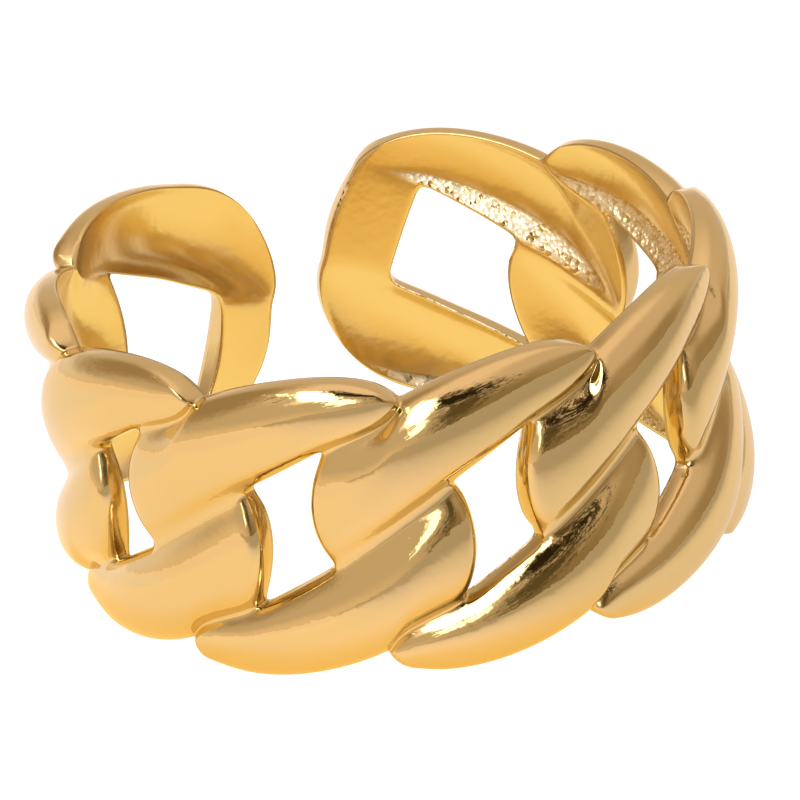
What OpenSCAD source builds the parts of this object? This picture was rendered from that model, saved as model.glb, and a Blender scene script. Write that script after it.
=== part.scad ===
// Open adjustable finger ring in a flattened curb-chain pattern.
// One cast shell: every chain strand is a domed, hollow-backed leaf of metal,
// the slanted windows between the strands are pierced through, and each end of
// the open band is closed by a flat bar.
// Lengths in millimetres, angles in degrees. The ring's axis is Z and the band
// lies on its lower rim. Angle 0 looks at the front (-Y) and grows towards +X.

/* [Band] */

// Diameter of the finger opening between the inner rims
finger_diameter = 17.2; // [15:0.1:21]

// Thickness of metal at the rims, creases and window edges
wall = 0.54; // [0.4:0.01:0.7]

// Shift of a strand's rounded end, half way up it, over the window behind it
back_bulge = 0.42; // [0:0.02:0.7]

// Shift of a strand's nose, half way up it, over the next strand
nose_bulge = 0.06; // [0:0.02:0.3]

/* [Chain pattern] */

// Angle from one window to the next
link_pitch = 36.2; // [36.0:0.05:36.4]

// Angle of the left-most window, seen from the front
first_window = -129.7; // [-131:0.1:-128]

// Half the angle across a window
window_angle = 7.7; // [6:0.1:9]

// Half the height of a window's outer corner on its short diagonal
window_corner_low = 1.10; // [0.9:0.01:1.3]

// Half the height of a window's outer corner on its long diagonal
window_corner_high = 2.39; // [2.2:0.01:2.5]

// Angle of the notches in the rims from the middle of the window before them
notch_angle = 21.6; // [20:0.1:23]

// Height of the notches in the rims above the middle
notch_height = 3.58; // [3.4:0.01:3.8]

/* [Open ends] */

// How far the left end is sprung outwards
left_opening = 0.615; // [0:0.005:0.8]

// How far the right end is sprung outwards
right_opening = 0.08; // [0:0.01:0.5]

// How far the left end stands above the middle of the band
left_lift = 0.34; // [0:0.01:0.5]

// How far the right end stands below the middle of the band
right_drop = 0.25; // [0:0.01:0.5]

// Rise of the outer face of an end bar over the creases beside it
bar_rise = 0.30; // [0.2:0.01:0.5]

/* [Hidden] */

link_count = 9;
inner_radius = finger_diameter / 2;
crease_radius = inner_radius + wall;

// Facets along a strand: beside the next strand, beside a window, beside the tip
crease_steps = 7;
window_steps = 5;
tip_steps = 4;
long_steps = crease_steps + window_steps + tip_steps;
// Facets across a strand, and along an end bar
cross_steps = 8;
bar_steps = 6;

// Marks on an upper strand, seen from the middle of its window: [angle, height]
one_link = [link_pitch, 0];
window_start = [-window_angle, window_corner_low];
window_end = [window_angle, window_corner_high];
notch = [notch_angle, notch_height];
// Edge of a strand's nose over the next strand, from the window to the notch
nose_edge = [window_end, [13.2, 2.70], [21.6, 2.95], notch];
// Handles of the rim curve over a strand
rim_handles = [[-3.9, 4.30], [16.5, 4.82]];
// Share of the rim curve that is the long side; the rest is the rounded nose
rim_share = 0.82;

// The two ends of the band. OUTLINE is a curve round the rounded end strand,
// from the foot of the bar to the notch. BAR_CORNER is the window's corner
// beside the foot. BAR_HOLLOW and BAR_BULGE bow the two long sides of the bar.
// FAR_CORNER is the window's corner at the other end of the bar, BAR_TIP the
// tip of the strand that the bar joins there, TIP_HANDLE its last rim handle.
OUTLINE = 0;
BAR_CORNER = 1;
BAR_HOLLOW = 2;
BAR_BULGE = 3;
FAR_CORNER = 4;
BAR_TIP = 5;
TIP_HANDLE = 6;
// Share of the outline from which it is the strand's upper edge
outline_top = 0.5;
left_end = [
    [[-30.3, -1.08], [-32.6, 1.01], [-28.2, 3.02], [-14.3, 3.58]],
    [-20.4, -0.20],
    [1.86, 0.21],
    [1.33, 0.16],
    [12.6, 3.42],
    [23.4, 3.40],
    [18.5, 4.92]
];
right_end = [
    [[-30.5, -0.99], [-33.8, 0.95], [-28.6, 2.93], [-14.3, 3.64]],
    [-19.1, 0.02],
    [0.0, 0.10],
    [1.0, 0.0],
    [10.6, 2.88],
    [22.8, 3.58],
    [15.3, 4.98]
];

// Rise of the dome along a strand over the creases, as a curve, and of the
// hollow behind it over the finger opening; a strand beside a bar has its own
dome_rise = [0.34, 1.09, 0.49, 0.24];
hollow_rise = [0.00, 0.95, 0.35, 0.00];
bar_hollow_rise = [0.00, 1.10, 0.00, 0.00];
// Roundness across a strand: 0.5 is elliptic, 1 is parabolic
arch_power = 0.66;
// Lean of the hollow towards the window: 1 is none
hollow_lean = 0.75;

// The ends leave the round of the band at this angle from its middle, and the
// figures for opening and lift hold this much further on
spring_start = 60;
spring_span = 100;
band_middle = first_window + link_pitch * (link_count - 1) / 2;

// Kinds of strand: rounding off an end of the band, beside an end bar, or plain
PLAIN = 0;
AT_END = 1;
AT_BAR = 2;
last_link = link_count - 1;

function kind_of(s) =
    s == 0 || s == 2 * last_link + 1 ? AT_END
    : s == 1 || s == 2 * last_link ? AT_BAR
    : PLAIN;

function end_of(s) = s < link_count ? left_end : right_end;

// Point on a cubic curve with two handles
function curve(p, t) =
    pow(1 - t, 3) * p[0] + 3 * pow(1 - t, 2) * t * p[1]
    + 3 * (1 - t) * t * t * p[2] + pow(t, 3) * p[3];

function mix(a, b, t) = a + (b - a) * t;

// Lower edge of a strand, step by step from its foot to its tip
function lower_edge(s, i) =
    kind_of(s) == AT_END && i <= tip_steps
    ? mix(end_of(s)[OUTLINE][0], end_of(s)[BAR_CORNER], i / tip_steps)
    : kind_of(s) == AT_END && i <= crease_steps
    ? mix(end_of(s)[BAR_CORNER], window_start, (i - tip_steps) / (crease_steps - tip_steps))
    : i <= crease_steps
    ? mix(-window_start - one_link, window_start, i / crease_steps)
    : i <= crease_steps + window_steps
    ? mix(window_start, window_corner(s), (i - crease_steps) / window_steps)
    : kind_of(s) == AT_BAR
    ? mix(window_corner(s), end_of(s)[BAR_TIP], (i - crease_steps - window_steps) / tip_steps)
    : curve(nose_edge, (i - crease_steps - window_steps) / tip_steps);

function window_corner(s) = kind_of(s) == AT_BAR ? end_of(s)[FAR_CORNER] : window_end;

// Rim curve of a strand, from the notch at its back to its tip
function rim_curve(s) = [
    kind_of(s) == AT_END ? end_of(s)[OUTLINE][3] : notch - one_link,
    rim_handles[0],
    kind_of(s) == AT_BAR ? end_of(s)[TIP_HANDLE] : rim_handles[1],
    kind_of(s) == AT_BAR ? end_of(s)[BAR_TIP] : notch
];

// Upper edge of a strand: the crease to the strand behind it, then the rim
function upper_edge(s, i) =
    i >= tip_steps
    ? curve(rim_curve(s), rim_share * (i - tip_steps) / (long_steps - tip_steps))
    : kind_of(s) == AT_END
    ? curve(end_of(s)[OUTLINE], mix(outline_top, 1, i / tip_steps))
    : curve(nose_edge, i / tip_steps) - one_link;

// Roundness of a cross-section: 0 at its edges, 1 half way between them
function bow(v) = 1 - pow(2 * v - 1, 2);

// Point of a strand's outer face (side 0) or hollow back (side 1):
// [angle, height, radius]
function strand_point(s, side, i, j) =
    let (
        u = i / long_steps,
        v = j / cross_steps,
        round = side == 0 ? bow(v) : bow(pow(v, hollow_lean)),
        rise = side == 0 ? dome_rise : kind_of(s) == AT_BAR ? bar_hollow_rise : hollow_rise,
        shift = (mix(back_bulge, -nose_bulge, u) / crease_radius) * 180 / PI,
        p = mix(lower_edge(s, i), upper_edge(s, i), v)
    )
    [
        p[0] - round * shift,
        p[1],
        (side == 0 ? crease_radius : inner_radius) + curve(rise, u) * pow(round, arch_power)
    ];

// Face of an end bar, seen as the one on the right: from the edge of the
// rounded end strand below it (j = 0) to the tip above it (j = bar_steps)
function bar_point(end, side, i, j) =
    let (
        v = j / bar_steps,
        arch = sin(180 * v),
        at_window = mix(-end[BAR_CORNER], end[FAR_CORNER], v) + end[BAR_HOLLOW] * arch,
        at_outside = mix(-end[OUTLINE][0], end[BAR_TIP], v) + end[BAR_BULGE] * arch,
        p = mix(at_window, at_outside, i / tip_steps)
    )
    [p[0], p[1], side == 0 ? crease_radius + bar_rise * arch : inner_radius];

// Places a point [angle, height, radius] of link n on the ring, whose middle is
// at height 0 here; a lower strand is an upper one turned half a turn about the
// middle of its window
function on_ring(p, n, lower) =
    let (
        angle = first_window + n * link_pitch + (lower ? -p[0] : p[0]),
        height = lower ? -p[1] : p[1],
        past = angle - band_middle,
        spring = pow(max(0, abs(past) - spring_start) / spring_span, 2),
        radius = p[2] + spring * (past < 0 ? left_opening : right_opening),
        lift = spring * (past < 0 ? left_lift : -right_drop)
    )
    [radius * sin(angle), -radius * cos(angle), height + lift];

// Numbering of the points. A piece is a strand (number 2 * link, plus 1 for a
// lower one) or, at the end of the list, one of the two end bars.
face_points = (long_steps + 1) * (cross_steps + 1);
strand_points = 2 * face_points;
bar_face_points = (tip_steps + 1) * (bar_steps + 1);
bars_from = 2 * link_count * strand_points;

function raw_id(s, side, i, j) =
    s * strand_points + side * face_points + i * (cross_steps + 1) + j;

// Number of a strand's point. Points on a shared crease take the number of
// the strand that owns them: the one whose tip ends there, or the upper one.
function strand_id(s, side, i, j) =
    let (lower = s % 2, behind = lower == 0 ? s - 2 : s + 2)
    j == cross_steps && i <= tip_steps && behind >= 0 && behind < 2 * link_count
    ? raw_id(behind, side, crease_steps + window_steps + i, 0)
    : j == 0 && i <= crease_steps && lower == 1 && s < 2 * last_link
    ? strand_id(s + 1, side, crease_steps - i, 0)
    : raw_id(s, side, i, j);

// Number of an end bar's point; b is 0 for the left bar and 1 for the right
function bar_id(b, side, i, j) =
    let (end_strand = b == 0 ? 0 : 2 * last_link + 1, tip_strand = b == 0 ? 1 : 2 * last_link)
    j == 0
    ? strand_id(end_strand, side, tip_steps - i, 0)
    : j == bar_steps
    ? strand_id(tip_strand, side, crease_steps + window_steps + i, 0)
    : bars_from + (2 * b + side) * bar_face_points + i * (bar_steps + 1) + j;

ring_points = [
    for (s = [0 : 2 * link_count - 1], side = [0, 1], i = [0 : long_steps], j = [0 : cross_steps])
        on_ring(strand_point(s, side, i, j), floor(s / 2), s % 2 == 1),
    for (b = [0, 1], side = [0, 1], i = [0 : tip_steps], j = [0 : bar_steps])
        on_ring(bar_point(b == 0 ? left_end : right_end, side, i, j), b * last_link, b == 0)
];

// The band raised so that its lowest rim lies at height 0
lowest = min([for (p = ring_points) p[2]]);
all_points = [for (p = ring_points) p - [0, 0, lowest]];

// Two triangles for a square given as four point numbers, clockwise from outside
function halves(a, b, c, d) = [[a, b, c], [a, c, d]];

// Outer and inner faces of a strand
function strand_faces(s) = [
    for (i = [0 : long_steps - 1], j = [0 : cross_steps - 1])
        each halves(
            strand_id(s, 0, i, j), strand_id(s, 0, i, j + 1),
            strand_id(s, 0, i + 1, j + 1), strand_id(s, 0, i + 1, j)),
    for (i = [0 : long_steps - 1], j = [0 : cross_steps - 1])
        each halves(
            strand_id(s, 1, i, j), strand_id(s, 1, i + 1, j),
            strand_id(s, 1, i + 1, j + 1), strand_id(s, 1, i, j + 1))
];

// Wall between outer and inner face from one point to the next along an edge
function strand_wall(s, i, j, k, l) =
    halves(strand_id(s, 0, i, j), strand_id(s, 0, k, l), strand_id(s, 1, k, l), strand_id(s, 1, i, j));

// Free edges of a strand: window side, window top, tip, rim; and at an end of
// the band also the rounded corner and the long side of the end window
function strand_walls(s) = [
    for (j = [0 : cross_steps - 1]) each strand_wall(s, 0, j + 1, 0, j),
    for (i = [crease_steps : crease_steps + window_steps - 1]) each strand_wall(s, i, 0, i + 1, 0),
    for (j = [0 : cross_steps - 1]) each strand_wall(s, long_steps, j, long_steps, j + 1),
    for (i = [tip_steps : long_steps - 1]) each strand_wall(s, i + 1, cross_steps, i, cross_steps),
    if (kind_of(s) == AT_END)
        for (i = [0 : tip_steps - 1]) each strand_wall(s, i + 1, cross_steps, i, cross_steps),
    if (kind_of(s) == AT_END)
        for (i = [tip_steps : crease_steps - 1]) each strand_wall(s, i, 0, i + 1, 0)
];

function bar_wall(b, i, j, l) =
    halves(bar_id(b, 0, i, j), bar_id(b, 0, i, l), bar_id(b, 1, i, l), bar_id(b, 1, i, j));

function bar_faces(b) = [
    for (i = [0 : tip_steps - 1], j = [0 : bar_steps - 1])
        each halves(
            bar_id(b, 0, i, j), bar_id(b, 0, i, j + 1),
            bar_id(b, 0, i + 1, j + 1), bar_id(b, 0, i + 1, j)),
    for (i = [0 : tip_steps - 1], j = [0 : bar_steps - 1])
        each halves(
            bar_id(b, 1, i, j), bar_id(b, 1, i + 1, j),
            bar_id(b, 1, i + 1, j + 1), bar_id(b, 1, i, j + 1)),
    for (j = [0 : bar_steps - 1]) each bar_wall(b, 0, j + 1, j),
    for (j = [0 : bar_steps - 1]) each bar_wall(b, tip_steps, j, j + 1)
];

all_faces = [
    for (s = [0 : 2 * link_count - 1]) each strand_faces(s),
    for (s = [0 : 2 * link_count - 1]) each strand_walls(s),
    for (b = [0, 1]) each bar_faces(b)
];

// The whole band: eighteen strands and two end bars in one shell
module ring_band() {
    color([0.85, 0.66, 0.36])
    polyhedron(points = all_points, faces = all_faces, convexity = 12);
}

ring_band();
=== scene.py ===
# %% [markdown]
# # Adjustable chain-pattern ring
# The ring is one casting: a flat strip of slanted chain links, bent round until
# its two barred ends nearly meet. A goldsmith would carve the links in wax on
# a flat strip and then bend it, and the model is made in the same order.

import math

import bmesh
import bpy
import mathutils
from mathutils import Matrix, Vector


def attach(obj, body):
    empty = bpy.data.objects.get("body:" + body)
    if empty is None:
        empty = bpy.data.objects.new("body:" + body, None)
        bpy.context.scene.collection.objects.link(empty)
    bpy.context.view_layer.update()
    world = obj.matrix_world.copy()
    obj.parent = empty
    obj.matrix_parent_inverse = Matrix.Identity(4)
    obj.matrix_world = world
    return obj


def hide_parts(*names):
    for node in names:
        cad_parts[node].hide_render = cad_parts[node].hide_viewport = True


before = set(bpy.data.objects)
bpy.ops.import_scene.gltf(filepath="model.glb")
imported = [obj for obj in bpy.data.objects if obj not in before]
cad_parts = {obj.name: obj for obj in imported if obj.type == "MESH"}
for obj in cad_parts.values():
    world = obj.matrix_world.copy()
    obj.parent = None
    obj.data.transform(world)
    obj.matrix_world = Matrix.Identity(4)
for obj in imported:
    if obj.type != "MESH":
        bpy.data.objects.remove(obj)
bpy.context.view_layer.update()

# %% [markdown]
# ## Sizes
# A real ring would start from a finger size. Here one length, the radius of the
# outer face along the creases, sets all the others, and places on the flat strip
# are written as an angle round the ring and a height above the band's middle.
# Written so, a number can be read off the ring itself.

# %% Sizes of the band, in metres and degrees
MM = 0.001
CREASE_RADIUS = 9.14 * MM     # outer face along the creases between strands
WALL = 0.54 * MM              # metal in a crease
DEGREE = CREASE_RADIUS * math.pi / 180   # length of one degree on the flat strip
PITCH = 36.2 * DEGREE         # from link to link
LINKS = 9
FIRST_WINDOW = -129.7 * DEGREE
MIDDLE = FIRST_WINDOW + (LINKS - 1) / 2 * PITCH   # middle of the flat band
MID_HEIGHT = 4.47 * MM        # middle of the band above the floor

def place(degrees, millimetres):
    """A place on the flat strip from an angle on the ring and a height."""
    return Vector((degrees * DEGREE, 0, millimetres * MM))

def between(a, b, share):
    return a + (b - a) * share

def curve(points, share):
    """Point on the cubic curve through the first and last of four points."""
    a, b, c, d = points
    s = 1 - share
    return a * s**3 + b * 3 * s**2 * share + c * 3 * s * share**2 + d * share**3

# %% [markdown]
# ## Helpers
# Each helper is one habit of hand modelling: make a piece active, step into edit
# mode, pick points, edges or faces, turn them, copy a piece. Picking goes by a
# small test on each element, so it does not depend on where the mouse was.

# %% Helpers for work in edit mode
def activate(piece):
    for o in list(bpy.context.selected_objects):
        o.select_set(False)
    piece.select_set(True)
    bpy.context.view_layer.objects.active = piece

def edit(piece):
    activate(piece)
    bpy.ops.object.mode_set(mode="EDIT")

def leave():
    bpy.ops.object.mode_set(mode="OBJECT")

def pick(piece, wanted, kind="VERT"):
    """Selects the points, edges or faces that wanted(element) names."""
    bpy.ops.mesh.select_mode(type=kind)
    bpy.ops.mesh.select_all(action="DESELECT")
    mesh = bmesh.from_edit_mesh(piece.data)
    elements = {"VERT": mesh.verts, "EDGE": mesh.edges, "FACE": mesh.faces}[kind]
    for element in elements:
        if wanted(element):
            element.select_set(True)
    mesh.select_flush_mode()
    bmesh.update_edit_mesh(piece.data)

def turn(degrees, axis, centre, **more):
    """With no window the rotate operator turns the other way, so the sign is changed."""
    bpy.ops.transform.rotate(value=-math.radians(degrees), orient_axis=axis,
                             center_override=centre, **more)

def copy_of(piece, name):
    activate(piece)
    bpy.ops.object.duplicate()
    twin = bpy.context.object
    twin.name = name
    return twin

def join(name, pieces):
    activate(pieces[0])
    for p in pieces:
        p.select_set(True)
    bpy.ops.object.join()
    pieces[0].name = name
    return pieces[0]

# %% [markdown]
# ## A skin
# A strand is a smooth leaf of metal, so a good start is a plain grid that is
# pulled into shape: rows are first bowed up into a dome, then every column is
# scaled, turned and moved to its own place between two points. A carver works
# the same way, from the outline to the dome.

# %% A skin from its cross-sections
GRID_SIZE = 8 * MM            # of the plain grid, before its columns are placed
ARCH_POWER = 0.66             # below 1 the dome is fuller than a circle's arch

def loft(name, sections, rows, lean=1):
    """A grid whose columns are set one after another between two points.
    A section is (low point, high point, bulge along the strip, height).
    A lean below 1 puts the crown of the dome below the middle."""
    columns = len(sections)
    bpy.ops.mesh.primitive_grid_add(x_subdivisions=columns - 1, y_subdivisions=rows - 1,
                                    size=GRID_SIZE, rotation=(math.pi / 2, 0, 0))
    skin = bpy.context.object
    skin.name = name
    bpy.ops.object.transform_apply(location=True, rotation=True, scale=True)
    edit(skin)
    for j in range(1, rows - 1):
        bow = 1 - (2 * (j / (rows - 1)) ** lean - 1) ** 2
        pick(skin, lambda v: v.index // columns == j)
        bpy.ops.transform.translate(value=(-bow * MM, -bow ** ARCH_POWER * MM, 0))
    for i, (low, high, bulge, height) in enumerate(sections):
        x = (i / (columns - 1) - 0.5) * GRID_SIZE
        across = high - low
        middle = (low + high) / 2
        pick(skin, lambda v: v.index % columns == i)
        bpy.ops.transform.resize(value=(bulge / MM, height / MM, across.length / GRID_SIZE),
                                 center_override=(x, 0, 0))
        turn(math.degrees(math.atan2(across.x, across.z)), "Y", (x, 0, 0))
        bpy.ops.transform.translate(value=(middle.x - x, middle.y, middle.z))
    leave()
    return skin

# %% [markdown]
# ## The outline of a strand
# Every strand starts fat and round behind a window, narrows past it and runs
# under the next strand. Its two long edges are given by a few marks: corners of
# the window, the notch in the rim and handles of the curve between two notches.
# The strands at the two ends of the band are rounder, so they have own marks.

# %% Marks on a strand
COLUMNS = 17                  # points along a strand
ROWS = 9                      # points across it
NOTCH = 4                     # column where the rim comes free of the strand behind
WINDOW_FROM = 7               # columns of the window's two corners
WINDOW_TO = 12
LAST = COLUMNS - 1
BEHIND = place(-36.2, 0)      # from a strand to the one behind it
WINDOW_START = place(-7.7, 1.10)
WINDOW_END = place(7.7, 2.39)
TIP = place(21.6, 3.58)
RIM_HANDLES = place(-3.9, 4.30), place(16.5, 4.82)
RIM_SHARE = 0.82              # where the rim turns into the nose
UNDER = (WINDOW_END, place(13.2, 2.70), place(21.6, 2.95), TIP)   # nose edge at the next strand
PLAIN = {"foot": BEHIND - WINDOW_START, "under": UNDER, "rim": (TIP + BEHIND, *RIM_HANDLES, TIP)}
LEFT_END = {
    "outline": (place(-30.3, -1.08), place(-32.6, 1.01), place(-28.2, 3.02), place(-14.3, 3.58)),
    "bar_corner": place(-20.4, -0.20),
    "bar_hollow": place(1.86, 0.21),
    "bar_bulge": place(1.33, 0.16),
    "far_window": place(12.6, 3.42),
    "bar_tip": place(23.4, 3.40),
    "tip_handle": place(18.5, 4.92)}
RIGHT_END = {
    "outline": (place(-30.5, -0.99), place(-33.8, 0.95), place(-28.6, 2.93), place(-14.3, 3.64)),
    "bar_corner": place(-19.1, 0.02),
    "bar_hollow": place(0.0, 0.10),
    "bar_bulge": place(1.0, 0.0),
    "far_window": place(10.6, 2.88),
    "bar_tip": place(22.8, 3.58),
    "tip_handle": place(15.3, 4.98)}

# %% Dome and bulge
# Each rise is the height of the dome in mm at four marks from the fat end to the tip.
BACK_BULGE = 0.54 * MM        # how far the fat end swells backwards
END_BULGE = 0.33 * MM         # the same on the two strands at the ends of the band
NOSE_BULGE = 0.06 * MM        # how far the tip swells forwards
OUTER_RISE = (0.34, 1.09, 0.49, 0.24)
INNER_RISE = (0.00, 0.95, 0.35, 0.00)
BAR_INNER_RISE = (0.00, 1.10, 0.00, 0.00)
INNER_LEAN = 0.75             # the hollow is deepest below the middle of the strand
print("one link is", round(PITCH / MM, 2), "mm long on the strip")

# %% Edges of a strand
def end_of_band(end):
    outline = end["outline"]
    return {**PLAIN, **end, "foot": outline[0], "bulge": END_BULGE,
            "rim": (outline[3], *RIM_HANDLES, TIP)}

def beside_bar(end):
    window, tip = end["far_window"], end["bar_tip"]
    under = (window, between(window, tip, 1 / 3), between(window, tip, 2 / 3), tip)
    return {**PLAIN, "under": under, "rim": (TIP + BEHIND, RIM_HANDLES[0], end["tip_handle"], tip)}

def low_edge(strand, i):
    if "bar_corner" in strand and i <= NOTCH:
        return between(strand["foot"], strand["bar_corner"], i / NOTCH)
    if "bar_corner" in strand and i <= WINDOW_FROM:
        share = (i - NOTCH) / (WINDOW_FROM - NOTCH)
        return between(strand["bar_corner"], WINDOW_START, share)
    if i <= WINDOW_FROM:
        return between(strand["foot"], WINDOW_START, i / WINDOW_FROM)
    if i <= WINDOW_TO:
        share = (i - WINDOW_FROM) / (WINDOW_TO - WINDOW_FROM)
        return between(WINDOW_START, strand["under"][0], share)
    return curve(strand["under"], (i - WINDOW_TO) / (LAST - WINDOW_TO))

def high_edge(strand, i):
    if i >= NOTCH:
        return curve(strand["rim"], RIM_SHARE * (i - NOTCH) / (LAST - NOTCH))
    if "outline" in strand:
        return curve(strand["outline"], 0.5 + 0.5 * i / NOTCH)
    return curve(UNDER, i / NOTCH) + BEHIND

def sections(strand, rise):
    found = []
    for i in range(COLUMNS):
        u = i / LAST
        bulge = (1 - u) * strand.get("bulge", BACK_BULGE) - u * NOSE_BULGE
        found.append((low_edge(strand, i), high_edge(strand, i), bulge, curve(rise, u) * MM))
    return found

# %% [markdown]
# ## Hollow back and walls
# Cast rings are hollowed from behind to save metal, which leaves each strand as
# a shell. The back is a second skin with less dome, set inwards by the wall;
# bridging the open edges makes the walls of the window and the rims. Creases
# keep the rims crisp and let the fat ends stay round when the mesh is smoothed:
# each chain of points has one sharpness in front and one at the back, 0 to 1.

# %% Hollow back and walls
def bridge(piece, chain, count):
    """Closes the wall between the outer skin's points in chain and the same points of the back."""
    back = {count + p for p in chain}
    def on_rim(edge):
        ends = {v.index for v in edge.verts}
        return ends <= chain or ends <= back

    pick(piece, on_rim, "EDGE")
    bpy.ops.mesh.bridge_edge_loops()

def crease(piece, chain, sharpness):
    pick(piece, lambda e: {v.index for v in e.verts} <= chain, "EDGE")
    bpy.ops.transform.edge_crease(value=sharpness)

def shell(name, outer, inner, count, chains, sharp):
    edit(inner)
    bpy.ops.mesh.select_all(action="SELECT")
    bpy.ops.mesh.flip_normals()
    bpy.ops.transform.translate(value=(0, WALL, 0))
    leave()
    piece = join(name, [outer, inner])
    edit(piece)
    for chain in chains:
        bridge(piece, chain, count)
    for chain, front, back in sharp:
        crease(piece, chain, front)
        crease(piece, {count + p for p in chain}, back)
    leave()
    return piece

# %% The five kinds of strand
def make_strand(name, strand, inner_rise=INNER_RISE):
    outer = loft(name, sections(strand, OUTER_RISE), ROWS)
    inner = loft("back", sections(strand, inner_rise), ROWS, INNER_LEAN)
    first = {j * COLUMNS for j in range(ROWS)}
    nose = {j * COLUMNS + LAST for j in range(ROWS)}
    top = [(ROWS - 1) * COLUMNS + i for i in range(COLUMNS)]
    window = set(range(WINDOW_FROM, WINDOW_TO + 1))
    under = set(range(WINDOW_TO, COLUMNS))
    if "outline" in strand:
        outside = first | set(top) | nose
        inside = set(range(NOTCH, WINDOW_TO + 1))
        chains = [outside, inside]
        sharp = [(outside, 0.3, 0.8), (inside, 0.5, 0.8), (under, 0.2, 0.1)]
    else:
        rim = set(top[NOTCH:]) | nose
        chains = [first, window, rim]
        sharp = [(first, 0.0, 0.7), (rim, 0.3, 0.8), (set(top[:NOTCH + 1]), 0.2, 0.1),
                 (window, 0.3, 0.7), (under, 0.2, 0.1)]
    return shell(name, outer, inner, COLUMNS * ROWS, chains, sharp)

plain = make_strand("plain_strand", PLAIN)
left_end = make_strand("left_end_strand", end_of_band(LEFT_END))
right_end = make_strand("right_end_strand", end_of_band(RIGHT_END))
left_bar_strand = make_strand("left_bar_strand", beside_bar(LEFT_END), BAR_INNER_RISE)
right_bar_strand = make_strand("right_bar_strand", beside_bar(RIGHT_END), BAR_INNER_RISE)
print("a strand has", len(plain.data.vertices), "points")

# %% [markdown]
# ## End bars
# At each end of the band a flat bar joins the upper and the lower strand and
# closes the last window. It is lofted like a strand, with hardly any dome and a
# softly hollowed edge towards the window.

# %% End bar
BAR_COLUMNS = 7               # points from the lower strand to the upper one
BAR_ROWS = 5                  # points from the window to the outside
BAR_RISE = 0.30               # how far the bar bows outwards, in mm
NO_DOME = 0.001 * MM          # too low to see

def bar_sections(end, rise):
    found = []
    for j in range(BAR_COLUMNS):
        v = j / (BAR_COLUMNS - 1)
        arch = math.sin(math.pi * v)
        window = between(-end["bar_corner"], end["far_window"], v) + end["bar_hollow"] * arch
        outside = between(-end["outline"][0], end["bar_tip"], v) + end["bar_bulge"] * arch
        depth = Vector((0, -rise * arch * MM, 0))
        found.append((window + depth, outside + depth, 0, NO_DOME))
    return found

def make_bar(name, end):
    outer = loft(name, bar_sections(end, BAR_RISE), BAR_ROWS)
    inner = loft("back", bar_sections(end, 0), BAR_ROWS)
    low_side = set(range(BAR_COLUMNS))
    high_side = {(BAR_ROWS - 1) * BAR_COLUMNS + i for i in range(BAR_COLUMNS)}
    sharp = [(low_side, 0.5, 0.9), (high_side, 0.3, 0.8)]
    return shell(name, outer, inner, BAR_COLUMNS * BAR_ROWS, [low_side, high_side], sharp)

# %% [markdown]
# ## The flat band
# Upper and lower strands are the same shape turned by half a turn, and one plain
# strand is copied for all the links between the ends. Joined and welded at their
# shared points they become one casting with nine windows through it.

# %% The flat band
def upside_down(piece):
    """Half a turn about the middle of the window."""
    edit(piece)
    bpy.ops.mesh.select_all(action="SELECT")
    turn(180, "Y", (0, 0, 0))
    leave()
    return piece

def move(piece, x):
    edit(piece)
    bpy.ops.mesh.select_all(action="SELECT")
    bpy.ops.transform.translate(value=(x, 0, 0))
    leave()
    return piece

# %% Nine links and two bars
pieces = []
for n in range(LINKS):
    x = FIRST_WINDOW + n * PITCH
    upper = {0: left_end, LINKS - 1: right_bar_strand}.get(n, plain)
    lower = {0: left_bar_strand, LINKS - 1: right_end}.get(n, plain)
    pieces.append(move(copy_of(upper, f"upper_{n}"), x))
    pieces.append(move(upside_down(copy_of(lower, f"lower_{n}")), x))
pieces.append(move(upside_down(make_bar("left_bar", LEFT_END)), FIRST_WINDOW))
pieces.append(move(make_bar("right_bar", RIGHT_END), FIRST_WINDOW + (LINKS - 1) * PITCH))
for p in (plain, left_end, right_end, left_bar_strand, right_bar_strand):
    bpy.data.objects.remove(p)
print("strands and bars:", len(pieces))

# %% Weld the links into one casting
SAME_POINT = 0.03 * MM        # points closer than this become one
band = join("ring_band_polished", pieces)
edit(band)
bpy.ops.mesh.select_all(action="SELECT")
bpy.ops.mesh.remove_doubles(threshold=SAME_POINT)
bpy.ops.mesh.normals_make_consistent(inside=False)
mesh = bmesh.from_edit_mesh(band.data)
print("open edges:", sum(not e.is_manifold for e in mesh.edges))
print("points:", len(mesh.verts), "faces:", len(mesh.faces))
leave()

# %% [markdown]
# ## Ends sprung open
# An adjustable ring is never perfectly round: its ends stand a little apart, a
# little out of line, and the band leans slightly at one side from being worn.
# Proportional editing does what fingers do, strongest at the end and fading.

# %% Spring the ends open
GRIP = 0.4 * MM               # the outermost points, which the fingers hold
FRONT = 60 * DEGREE           # from the middle, on both sides, the front stays as it is
FULL_REACH = 100 * DEGREE     # over this reach an end moves by just the given millimetres

def spring(side, opening, lift):
    """Moves one end of the band, -1 left and 1 right, outwards and up, in millimetres."""
    edit(band)
    end = max(v.co.x * side for v in band.data.vertices)
    pick(band, lambda v: v.co.x * side > end - GRIP)
    reach = abs(end - side * MIDDLE) - FRONT
    strength = (reach / FULL_REACH) ** 2
    bpy.ops.transform.translate(value=(0, -opening * strength * MM, lift * strength * MM),
                                use_proportional_edit=True, proportional_edit_falloff="SHARP",
                                proportional_size=reach)
    leave()
    print("spring", side, "reaches", round(reach / MM, 2), "mm, strength", round(strength, 2))

spring(-1, 0.615, 0.34)
spring(1, 0.08, -0.25)

# %% Lean the left side
HELD = 8 * DEGREE             # half of the stretch that is turned as a whole

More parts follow.
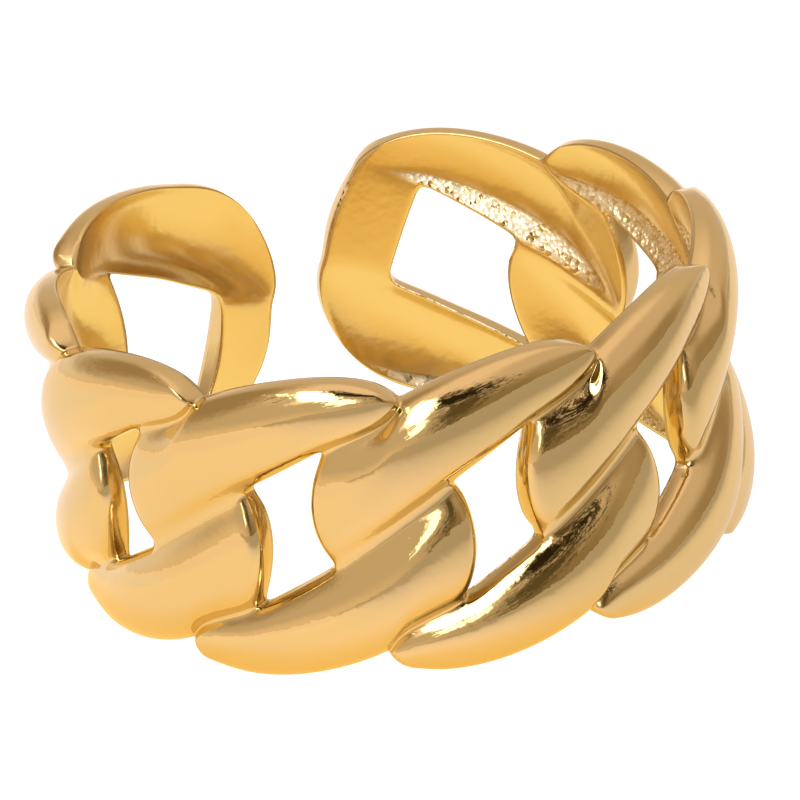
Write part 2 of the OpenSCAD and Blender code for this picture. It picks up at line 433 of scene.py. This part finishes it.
def twist(at, degrees, reach):
    """Leans the band a little about its own length; positive moves the upper rim outwards."""
    edit(band)
    x = at * DEGREE
    pick(band, lambda v: abs(v.co.x - x) < HELD)
    turn(degrees, "X", (x, 0, 0), use_proportional_edit=True,
         proportional_edit_falloff="SMOOTH", proportional_size=reach * DEGREE)
    leave()
    print("the band leans by", degrees, "degrees at", at)

twist(-80, 2.0, 26)

# %% [markdown]
# ## Smooth and bend
# Two levels of subdivision round the facets to buffed metal. Only then is the
# strip bent round, so that the bend is spread evenly over every row of points,
# and the ring is set on the floor with its axis upright.

# %% Smooth and bend
activate(band)
smooth = band.modifiers.new("smooth", "SUBSURF")
smooth.levels = smooth.render_levels = 2
bpy.ops.object.modifier_apply(modifier="smooth")
print("points after smoothing:", len(band.data.vertices))

# %% Bend the strip round
xs = [v.co.x for v in band.data.vertices]
bend = band.modifiers.new("bend", "SIMPLE_DEFORM")
bend.deform_method = "BEND"
bend.deform_axis = "Z"
bend.angle = (max(xs) - min(xs)) / CREASE_RADIUS
print("bent round by", round(math.degrees(bend.angle), 1), "degrees")
bpy.ops.object.modifier_apply(modifier="bend")
edit(band)
bpy.ops.mesh.select_all(action="SELECT")
bpy.ops.transform.translate(value=(0, -CREASE_RADIUS, MID_HEIGHT))
leave()
bpy.ops.object.shade_smooth()

# %% Measure the band and give it its place
print("triangles:", sum(len(p.vertices) - 2 for p in band.data.polygons))
low = [min(v.co[a] for v in band.data.vertices) / MM for a in range(3)]
high = [max(v.co[a] for v in band.data.vertices) / MM for a in range(3)]
print("band box, mm:", [round(c, 2) for c in low], [round(c, 2) for c in high])
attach(band, "root")
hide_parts("ring_band")

# %% [markdown]
# ## Colours and nodes
# Colours are picked as the codes a screen shows, but light adds up in linear
# values, so one function turns each code into linear light. A second one adds a
# node: settings that are numbers are typed in, settings that are sockets of other
# nodes become links. Every material below is built with these two. Inputs that
# share one name go by number: 0, 1 and 2 are what a Math node works on, in order.

# %% Colours
def linear(code):
    """Linear RGBA of an sRGB hex colour such as e0b060."""
    channels = [int(code[k:k + 2], 16) / 255 for k in (0, 2, 4)]
    return [c / 12.92 if c <= 0.04045 else ((c + 0.055) / 1.055) ** 2.4 for c in channels] + [1]

# %% Nodes
SHARE, BELOW, ABOVE = 0, 6, 7   # inputs of a colour mix
MIXED = 2                       # its output

def add(tree, kind, settings):
    """Adds a node; a setting is one of its properties, or the number or name of an input."""
    node = tree.nodes.new(kind)
    for name, value in settings.items():
        if not isinstance(name, int) and name not in node.inputs:
            setattr(node, name, value)
        elif isinstance(value, bpy.types.NodeSocket):
            tree.links.new(value, node.inputs[name])
        else:
            node.inputs[name].default_value = value
    return node.outputs

# %% [markdown]
# ## Gold plate
# The ring is cast brass with a thin plating of pale yellow gold. Metal has no
# colour of its own apart from its mirror, so the base colour only tints what is
# reflected; a slow noise moves it between two golds, as plating thickness does.

# %% Polished gold plate
# To the eye: a pale yellow mirror whose tone drifts a little from place to place.
gold = bpy.data.materials.new("polished_gold_plate")
gold.use_nodes = True
plate = gold.node_tree
shader = plate.nodes["Principled BSDF"].inputs
shader["Metallic"].default_value = 1
on_ring = add(plate, "ShaderNodeTexCoord", {})
CLOUD = 3.85 * MM             # size of a patch of thicker plating
cloud = add(plate, "ShaderNodeTexNoise",
            {"Vector": on_ring["Object"], "Scale": 1 / CLOUD, "Detail": 2.0})
tone = add(plate, "ShaderNodeMix",
           {"data_type": "RGBA", SHARE: cloud["Fac"],
            BELOW: linear("e4ce94"), ABOVE: linear("ddc78b")})[MIXED]
print("plating between e4ce94 and ddc78b, in patches of", round(CLOUD / MM, 2), "mm")

# %% [markdown]
# ## Bright outside, satin inside
# A buffing wheel reaches the outer faces and hardly the hollows. How far a face
# looks away from the ring's axis tells the two apart: outside the gold is close
# to a mirror, inside it is satin and spreads its reflections.

# %% Sheen by how far a face looks outwards
flat = add(plate, "ShaderNodeVectorMath",
           {"operation": "MULTIPLY", 0: on_ring["Object"], 1: (1, 1, 0)})
away = add(plate, "ShaderNodeVectorMath", {"operation": "NORMALIZE", 0: flat["Vector"]})
facing_out = add(plate, "ShaderNodeVectorMath",
                 {"operation": "DOT_PRODUCT", 0: away["Vector"], 1: on_ring["Normal"]})["Value"]
MIRROR = 0.045                # roughness outside
SATIN = 0.20                  # roughness inside
sheen = add(plate, "ShaderNodeMapRange",
            {"Value": facing_out, "From Min": 0.45, "From Max": -0.1,
             "To Min": MIRROR, "To Max": SATIN})["Result"]
print("roughness from", MIRROR, "outside to", SATIN, "inside")

# %% [markdown]
# ## Grain left by the casting, with painted glints
# On the ledges above and below the windows, seen from inside, the skin of the
# casting was never polished and is pitted with small crystals. Their white sparks
# are painted: the glinting grains get a whiter colour and a glow of their own,
# as painted highlights. Four ramps find these ledges: facing inwards, facing up
# towards the lamps, below the upper rim and right of a line near the middle of the ring.

# %% Where the grain lies
spot = add(plate, "ShaderNodeSeparateXYZ", {"Vector": on_ring["Object"]})
normal = add(plate, "ShaderNodeSeparateXYZ", {"Vector": on_ring["Normal"]})
# The higher up on the band, the less a ledge has to face up to keep its grain and painted glints;
# facing up is facing the lamps overhead.
LESS_NEEDED = 0.045 / MM      # per metre of height
upward = add(plate, "ShaderNodeMath",
             {"operation": "MULTIPLY_ADD", 0: spot["Z"], 1: LESS_NEEDED, 2: normal["Z"]})["Value"]
# Each ramp: what it goes by, where the grain starts and where it is full.
LEDGES = [
    (facing_out, -0.20, -0.45),
    (upward, 0.43, 0.58),
    (spot["Z"], 7.6 * MM, 7.1 * MM),
    (spot["X"], -1.3 * MM, -0.3 * MM)]
lit_grain = 1.0
for value, start, stop in LEDGES:
    share = add(plate, "ShaderNodeMapRange", {"Value": value, "From Min": start, "From Max": stop})
    lit_grain = add(plate, "ShaderNodeMath",
                  {"operation": "MULTIPLY", 0: share["Result"], 1: lit_grain})["Value"]
print("ledges found by", len(LEDGES), "ramps")

# %% As-cast gold crystals, with painted glints
# To the eye: pale, matt grains, most of them bright, with bare gold between them. The whiteness
# and the glow of the bright grains are painted highlights.
# Real grains are about 0.05 mm; they are drawn three times as coarse, so that they show.
CRYSTAL = 0.154 * MM          # from one grain to the next
grain = add(plate, "ShaderNodeTexVoronoi", {"Vector": on_ring["Object"], "Scale": 1 / CRYSTAL})
luck = add(plate, "ShaderNodeSeparateXYZ", {"Vector": grain["Color"]})["X"]
bright = add(plate, "ShaderNodeMapRange", {"Value": luck, "From Min": 0.22, "From Max": 0.32})
rough_glinting_grains = add(plate, "ShaderNodeMath",
                 {"operation": "MULTIPLY", 0: bright["Result"], 1: lit_grain})["Value"]
# Towards the right of the ring the painted glints and the frost fade out.
fade_to_right = add(plate, "ShaderNodeMapRange",
             {"Value": spot["X"], "From Min": 3.0 * MM, "From Max": 7.2 * MM,
              "To Min": 1.0, "To Max": 0.12})
frost_and_painted_glint = add(plate, "ShaderNodeMath",
              {"operation": "MULTIPLY", 0: rough_glinting_grains, 1: fade_to_right["Result"]})["Value"]
# Glinting grains are painted nearly white, fffbea: a painted highlight in the base colour.
colour = add(plate, "ShaderNodeMix",
             {"data_type": "RGBA", SHARE: frost_and_painted_glint, BELOW: tone, ABOVE: linear("fffbea")})[MIXED]
plate.links.new(colour, shader["Base Color"])
# Painted glint: the glinting grains glow a little, light of their own in place of the lamps that
# each tiny face would mirror.
SPARKLE = 0.42                # each tiny face would mirror a lamp; this light stands in for it
sparkle = add(plate, "ShaderNodeMath", {"operation": "MULTIPLY", 0: frost_and_painted_glint, 1: SPARKLE})["Value"]
shader["Emission Color"].default_value = linear("fffbdc")
plate.links.new(sparkle, shader["Emission Strength"])
gloss = add(plate, "ShaderNodeMath",
            {"operation": "MULTIPLY_ADD", 0: frost_and_painted_glint, 1: sheen, 2: sheen})["Value"]
plate.links.new(gloss, shader["Roughness"])
print("grains", round(CRYSTAL / MM, 3), "mm apart")

# %% [markdown]
# ## Ripples and pits
# No hand-buffed casting is quite flat. Ripples of about a quarter of a
# millimetre are too shallow to be seen themselves, but they break up the edges
# of bright and dark reflections; the crystals are pitted much more deeply.

# %% Relief of the surface
RIPPLE = 0.278 * MM           # from one ripple to the next
RIPPLE_DEPTH = 0.005 * MM
PIT_DEPTH = 0.045 * MM
waves = add(plate, "ShaderNodeTexNoise",
            {"Vector": on_ring["Object"], "Scale": 1 / RIPPLE, "Detail": 1.5})
ripples = add(plate, "ShaderNodeBump", {"Height": waves["Fac"], "Distance": RIPPLE_DEPTH})
depth = add(plate, "ShaderNodeMath",
            {"operation": "MULTIPLY", 0: grain["Distance"], 1: lit_grain})["Value"]
pits = add(plate, "ShaderNodeBump",
           {"Height": depth, "Distance": PIT_DEPTH, "Normal": ripples["Normal"]})
plate.links.new(pits["Normal"], shader["Normal"])
band.data.materials.clear()
band.data.materials.append(gold)
print("gold plate nodes:", len(plate.nodes))

# %% [markdown]
# ## Floor
# Small jewellery is often placed on a white sheet of acrylic lit from below: no
# shadow, a clean white ground, and a warm light from beneath. The sheet is white
# to the camera; what the gold mirrors of it is warmer and less even, as a table
# with cards round it is, because a pure white floor would bleach the gold.

# %% Backlit white acrylic
# To the eye: a matt white ground that glows softly and shows no shadow.
bpy.ops.mesh.primitive_plane_add(size=2)
floor = bpy.context.object
floor.name = "floor"
acrylic = bpy.data.materials.new("backlit_white_acrylic")
acrylic.use_nodes = True
sheet = acrylic.node_tree
surface = sheet.nodes["Principled BSDF"].inputs
surface["Base Color"].default_value = linear("a2a2a2")
surface["Roughness"].default_value = 0.9
on_floor = add(sheet, "ShaderNodeTexCoord", {})["Object"]

# %% Painted light and shade in the floor's glow, in place of cards round the ring
def across_floor(towards, start, stop):
    """Grows from 0 to 1 along a direction on the floor, between two distances in mm."""
    along = add(sheet, "ShaderNodeVectorMath",
                {"operation": "DOT_PRODUCT", 0: on_floor, 1: towards})["Value"]
    return add(sheet, "ShaderNodeMapRange",
               {"interpolation_type": "SMOOTHSTEP", "Value": along,
                "From Min": start * MM, "From Max": stop * MM})["Result"]

# Each painted tint: its direction from the ring, where it starts and is full in mm, its colour.
tint = linear("ffe3d2")
FLOOR_TINTS = [
    ((-0.87, -0.50, 0), 5, 12, "f3dabf"),       # left
    ((0.71, -0.71, 0), 6, 16, "dac7c8"),        # front right
    ((-0.42, 0.91, 0), 5, 12, "e7d6cb"),        # back
    ((0.77, 0.64, 0), 6, 13, "ead3c8"),         # back right
    ((-0.70, -0.71, 0), 22, 42, "ecd0bc")]      # far out, front left
for towards, start, stop, tint_code in FLOOR_TINTS:
    tint = add(sheet, "ShaderNodeMix",
               {"data_type": "RGBA", SHARE: across_floor(towards, start, stop),
                BELOW: tint, ABOVE: linear(tint_code)})[MIXED]
print("cards round the ring:", len(FLOOR_TINTS))

# %% Amber light under the ring, paler towards the back
DAPPLE = 3.33 * MM            # size of a patch in the light
PATCH_SHIFT = 14 * MM         # how far the patches push the edge of the pale part about
dapple = add(sheet, "ShaderNodeTexNoise",
             {"Vector": on_floor, "Scale": 1 / DAPPLE, "Detail": 1.0})
backwards = add(sheet, "ShaderNodeSeparateXYZ", {"Vector": on_floor})["Y"]
patchy = add(sheet, "ShaderNodeMath",
             {"operation": "MULTIPLY_ADD", 0: dapple["Fac"], 1: PATCH_SHIFT, 2: backwards})
pale = add(sheet, "ShaderNodeMapRange",
           {"Value": patchy["Value"], "From Min": 4 * MM, "From Max": 12 * MM})
amber = add(sheet, "ShaderNodeMix",
            {"data_type": "RGBA", SHARE: pale["Result"],
             BELOW: linear("f5ca70"), ABOVE: linear("ffe7a8")})[MIXED]
from_middle = add(sheet, "ShaderNodeVectorMath", {"operation": "LENGTH", 0: on_floor})["Value"]
under_ring = add(sheet, "ShaderNodeMapRange",
                 {"interpolation_type": "SMOOTHSTEP", "Value": from_middle,
                  "From Min": 13 * MM, "From Max": 9 * MM})["Result"]
tint = add(sheet, "ShaderNodeMix",
           {"data_type": "RGBA", SHARE: under_ring, BELOW: tint, ABOVE: amber})[MIXED]

# %% One more painted tint, close on the right, on top of the amber light
close_right = across_floor((0.98, -0.20, 0), 5, 10)
tint = add(sheet, "ShaderNodeMix",
           {"data_type": "RGBA", SHARE: close_right,
            BELOW: tint, ABOVE: linear("dacbc2")})[MIXED]
print("floor tinted with", len(sheet.nodes), "nodes")

# %% White to the camera, warm and fading in reflections
seen = add(sheet, "ShaderNodeLightPath", {})["Is Camera Ray"]
ground = add(sheet, "ShaderNodeMix",
             {"data_type": "RGBA", SHARE: seen, BELOW: tint, ABOVE: linear("ffffff")})[MIXED]
sheet.links.new(ground, surface["Emission Color"])
FAR_GLOW = 0.32               # what is left of the glow far out at the front right
glow = add(sheet, "ShaderNodeMapRange",
           {"Value": across_floor((0.71, -0.71, 0), 11, 27),
            "To Min": 1.0, "To Max": FAR_GLOW})["Result"]
strength = add(sheet, "ShaderNodeMath", {"operation": "MAXIMUM", 0: glow, 1: seen})["Value"]
sheet.links.new(strength, surface["Emission Strength"])
floor.data.materials.append(acrylic)
print("acrylic nodes:", len(sheet.nodes))

# %% [markdown]
# ## Camera
# A long lens, about 23 degrees above the floor and rolled a little, keeps the
# near and far links at almost the same size, as in a catalogue picture of a
# small thing.

# %% Camera
elevation = math.radians(23.40)
roll = math.radians(-6.90)
distance = 195.2 * MM
target = Vector((0, 0, MID_HEIGHT))
back_direction = Vector((0, -math.cos(elevation), math.sin(elevation)))
camera_data = bpy.data.cameras.new("camera")
camera_data.sensor_width = 36
camera_data.lens = 316.9
camera_data.clip_start = 0.01
camera_data.shift_x = 0.00573    # a few pixels, as the framing needs
camera_data.shift_y = -0.01034
camera = bpy.data.objects.new("camera", camera_data)
bpy.context.scene.collection.objects.link(camera)
camera.location = target + back_direction * distance
tipped = mathutils.Matrix.Rotation(math.pi / 2 - elevation, 4, "X")
camera.rotation_euler = (tipped @ mathutils.Matrix.Rotation(roll, 4, "Z")).to_euler()
bpy.context.scene.camera = camera
print("camera at", [round(c / MM) for c in camera.location], "mm")

# %% [markdown]
# ## Light
# Polished metal shows its surroundings more than itself, so the light is a room:
# tan walls, a brighter ceiling, and soft oval panels, some bright as lamps, some
# dark as the gaps between them. Where a panel meets a dark gap the gold sparkles.

# %% Walls and ceiling
# Colours of the room are linear light, not paint, so that a lamp may be above 1.
WALLS = (0.73, 0.57, 0.46, 1)
CEILING = (1.08, 0.83, 0.73, 1)
world = bpy.data.worlds.new("studio")
world.use_nodes = True
bpy.context.scene.world = world
bpy.context.scene.view_settings.view_transform = "Standard"
room = world.node_tree
direction = add(room, "ShaderNodeTexCoord", {})["Generated"]
up = add(room, "ShaderNodeSeparateXYZ", {"Vector": direction})["Z"]
overhead = add(room, "ShaderNodeMapRange",
               {"interpolation_type": "SMOOTHSTEP", "Value": up,
                "From Min": 0.6, "From Max": 0.95})["Result"]
light = add(room, "ShaderNodeMix",
            {"data_type": "RGBA", SHARE: overhead, BELOW: WALLS, ABOVE: CEILING})[MIXED]
print("walls", WALLS[:3], "ceiling", CEILING[:3])

# %% One soft panel
patches = add(room, "ShaderNodeTexNoise",
              {"Vector": direction, "Scale": 20.0, "Detail": 4.0, "Roughness": 0.65})
mottle = add(room, "ShaderNodeMath", {"operation": "SUBTRACT", 0: patches["Fac"], 1: 0.5})["Value"]

def panel(light, azimuth, height, half_width, half_height, soft, colour, tilt=0, ragged=0):
    """Lays an oval over the light of the room; angles are in degrees, as seen from the ring.
    Azimuth 0 is the camera's side. Soft is the width of the edge as a share of the oval,
    tilt turns the oval, and ragged says how far the mottle tears its edge."""
    a = math.radians(azimuth)
    h = math.radians(height)
    towards = Vector((math.sin(a) * math.cos(h), -math.cos(a) * math.cos(h), math.sin(h)))
    facing = mathutils.Euler((0, -h, a - math.pi / 2)).to_matrix()
    facing = facing @ mathutils.Matrix.Rotation(math.radians(tilt), 3, "X")
    wide = 2 * math.sin(math.radians(half_width) / 2)
    tall = 2 * math.sin(math.radians(half_height) / 2)
    local = add(room, "ShaderNodeMapping",
                {"vector_type": "TEXTURE", "Vector": direction, "Location": towards,
                 "Rotation": facing.to_euler(), "Scale": (max(wide, tall), wide, tall)})
    reach = add(room, "ShaderNodeVectorMath", {"operation": "LENGTH", 0: local["Vector"]})
    torn = add(room, "ShaderNodeMath",
               {"operation": "MULTIPLY_ADD", 0: mottle, 1: ragged, 2: reach["Value"]})
    share = add(room, "ShaderNodeMapRange",
                {"interpolation_type": "SMOOTHSTEP", "Value": torn["Value"],
                 "From Min": 1 + soft, "From Max": 1 - soft})
    return add(room, "ShaderNodeMix",
               {"data_type": "RGBA", SHARE: share["Result"],
                BELOW: light, ABOVE: (*colour, 1)})[MIXED]

# %% [markdown]
# ## Broad panels
# First the broad ones: brown and pale shades low round the horizon, so that every
# strand turns from light to dark across its dome.

# %% Broad shades: azimuth, height, half width, half height, softness and colour
light = panel(light, -122, 42, 30, 24, 0.5, (0.45, 0.31, 0.20), ragged=1)
light = panel(light, -140, 0, 44, 12, 0.5, (1.00, 0.84, 0.78))
light = panel(light, -70, -2, 52, 10, 0.6, (1.00, 0.74, 0.56))
light = panel(light, 62, 4, 54, 22, 0.5, (0.50, 0.36, 0.25))
light = panel(light, 32, 2, 22, 12, 0.6, (0.34, 0.24, 0.14))
light = panel(light, 92, 8, 16, 14, 0.6, (0.42, 0.30, 0.20))
light = panel(light, 142, -2, 24, 8, 0.6, (0.70, 0.66, 0.70))
light = panel(light, 168, -3, 7, 12, 0.5, (1.10, 1.05, 1.10))
light = panel(light, 62, 52, 46, 16, 0.6, (0.80, 0.61, 0.53))
print("broad panels set,", len(room.nodes), "nodes")

# %% [markdown]
# ## Key light
# Last, over the left shoulder, a tall lamp and beside it a dark gap. Both have
# ragged edges, so their meeting line looks broken on the rippled gold.

# %% Lamp and dark gap, in the same order of numbers
light = panel(light, -31, 39, 9, 8, 0.5, (1.35, 1.11, 1.03), ragged=1)
light = panel(light, -12, 22, 8, 10, 0.6, (0.66, 0.60, 0.40), ragged=2)
light = panel(light, 14, 20, 13, 18, 0.5, (0.14, 0.10, 0.05), ragged=3)
light = panel(light, 3, 50, 33, 11, 0.3, (0.09, 0.06, 0.03), tilt=-35, ragged=4)
light = panel(light, 3, 50, 20, 5, 0.3, (0.03, 0.02, 0.01), tilt=-35, ragged=4)
light = panel(light, -11, 20, 5, 9, 0.3, (2.70, 2.60, 2.70), tilt=12, ragged=3)
light = panel(light, -30, 50, 8, 23, 0.2, (4.20, 4.00, 3.90), tilt=34, ragged=1.6)
light = panel(light, -74, 59, 9, 1.5, 0.2, (2.40, 2.20, 2.00), ragged=6)
room.links.new(light, room.nodes["Background"].inputs["Color"])
print("all panels set,", len(room.nodes), "nodes")
